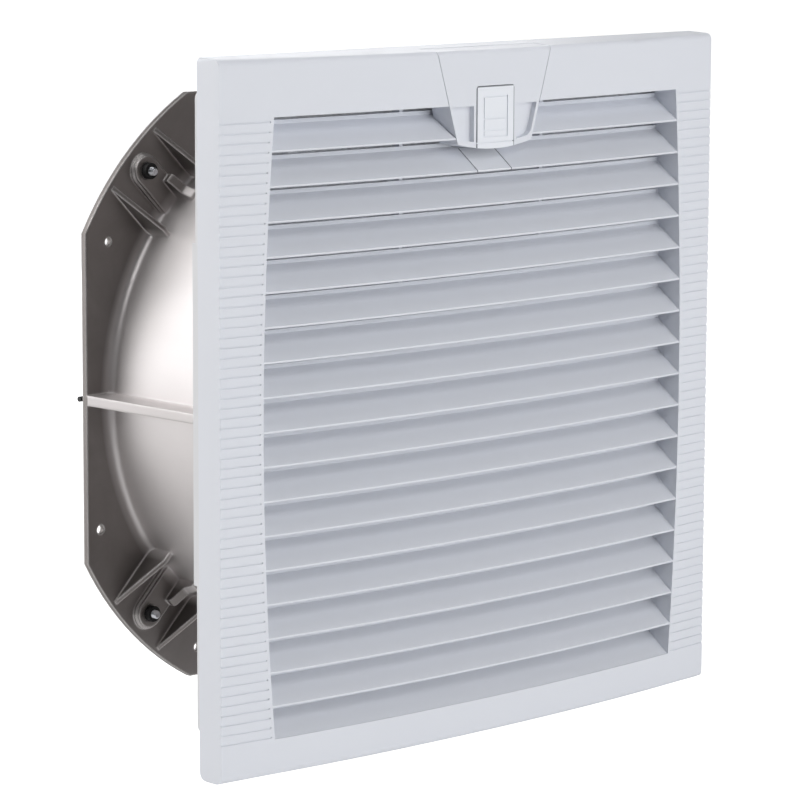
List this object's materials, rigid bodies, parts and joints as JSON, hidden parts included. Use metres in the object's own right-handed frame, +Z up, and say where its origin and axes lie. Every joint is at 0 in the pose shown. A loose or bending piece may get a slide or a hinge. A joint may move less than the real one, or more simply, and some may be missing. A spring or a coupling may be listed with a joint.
{
  "type": "cabinet filter fan",
  "caption": "Square filter fan for a cabinet wall: bowed louvred cover that hinges down, release button, filter mat and a diecast axial fan behind the panel.",
  "frame": {"origin": "centre of the plane in which the seal meets the cabinet's panel", "axes": "+X to the right seen from the front, +Y into the cabinet, +Z up"},
  "size_m": [0.323, 0.1547, 0.323],
  "materials": {
    "cover_plastic": "fine moulded satin",
    "button_plastic": "fine moulded satin",
    "frame_plastic": "fine moulded satin",
    "grid_plastic": "moulded",
    "filter_fleece": "bonded fleece",
    "seal_foam": "closed-cell foam",
    "diecast_aluminium": "as-cast satin",
    "motor_aluminium": "turned casting",
    "bush_rubber": "moulded rubber",
    "zinc_steel": "zinc plated",
    "spring_steel": "drawn wire",
    "shaft_steel": "ground",
    "black_wire": "powder coated",
    "lamination_steel": "stacked sheets",
    "winding_copper": "enamelled wire",
    "rotor_paint": "dipped paint",
    "blade_plastic": "glass-filled moulding",
    "box_plastic": "moulded",
    "block_plastic": "moulded",
    "gland_plastic": "moulded"
  },
  "bodies": {
    "base": {"mounting_frame": "frame_plastic", "latch_tongue": "frame_plastic", "panel_gasket": "seal_foam", "filter_mat": "filter_fleece", "support_grid": "grid_plastic", "fan_housing": "diecast_aluminium", "housing_screws": "zinc_steel", "corner_grommets": "bush_rubber", "corner_screws": "zinc_steel", "rear_guard": "black_wire", "motor_base": "motor_aluminium", "stator_core": "lamination_steel", "stator_windings": "winding_copper", "front_bearing": "shaft_steel", "rear_bearing": "shaft_steel", "motor_screws": "zinc_steel", "terminal_box": "box_plastic", "terminal_lid": "box_plastic", "lid_screws": "zinc_steel", "terminal_block": "block_plastic", "cable_gland": "gland_plastic"},
    "cover": {"louvre_cover": "cover_plastic", "release_panel": "cover_plastic", "slat_insert": "button_plastic", "panel_screws": "zinc_steel", "hinge_pins": "spring_steel"},
    "button": {"release_button": "button_plastic", "button_spring": "spring_steel"},
    "rotor": {"rotor_shell": "rotor_paint", "impeller": "blade_plastic", "motor_shaft": "shaft_steel"}
  },
  "joints": [
    {"name": "cover_hinge", "type": "hinge", "parent": "base", "child": "cover", "pos_m": [0, -0.0055, -0.1565], "axis": [1, 0, 0], "range_deg": [0, 90]},
    {"name": "button_press", "type": "slide", "parent": "cover", "child": "button", "axis": [0, 1, 0], "range_m": [0, 0.003], "stiffness_N_per_m": 900, "deforming": ["button_spring"]},
    {"name": "fan_spin", "type": "hinge", "parent": "base", "child": "rotor", "pos_m": [0, 0, -0.003], "axis": [0, 1, 0], "continuous": true}
  ]
}
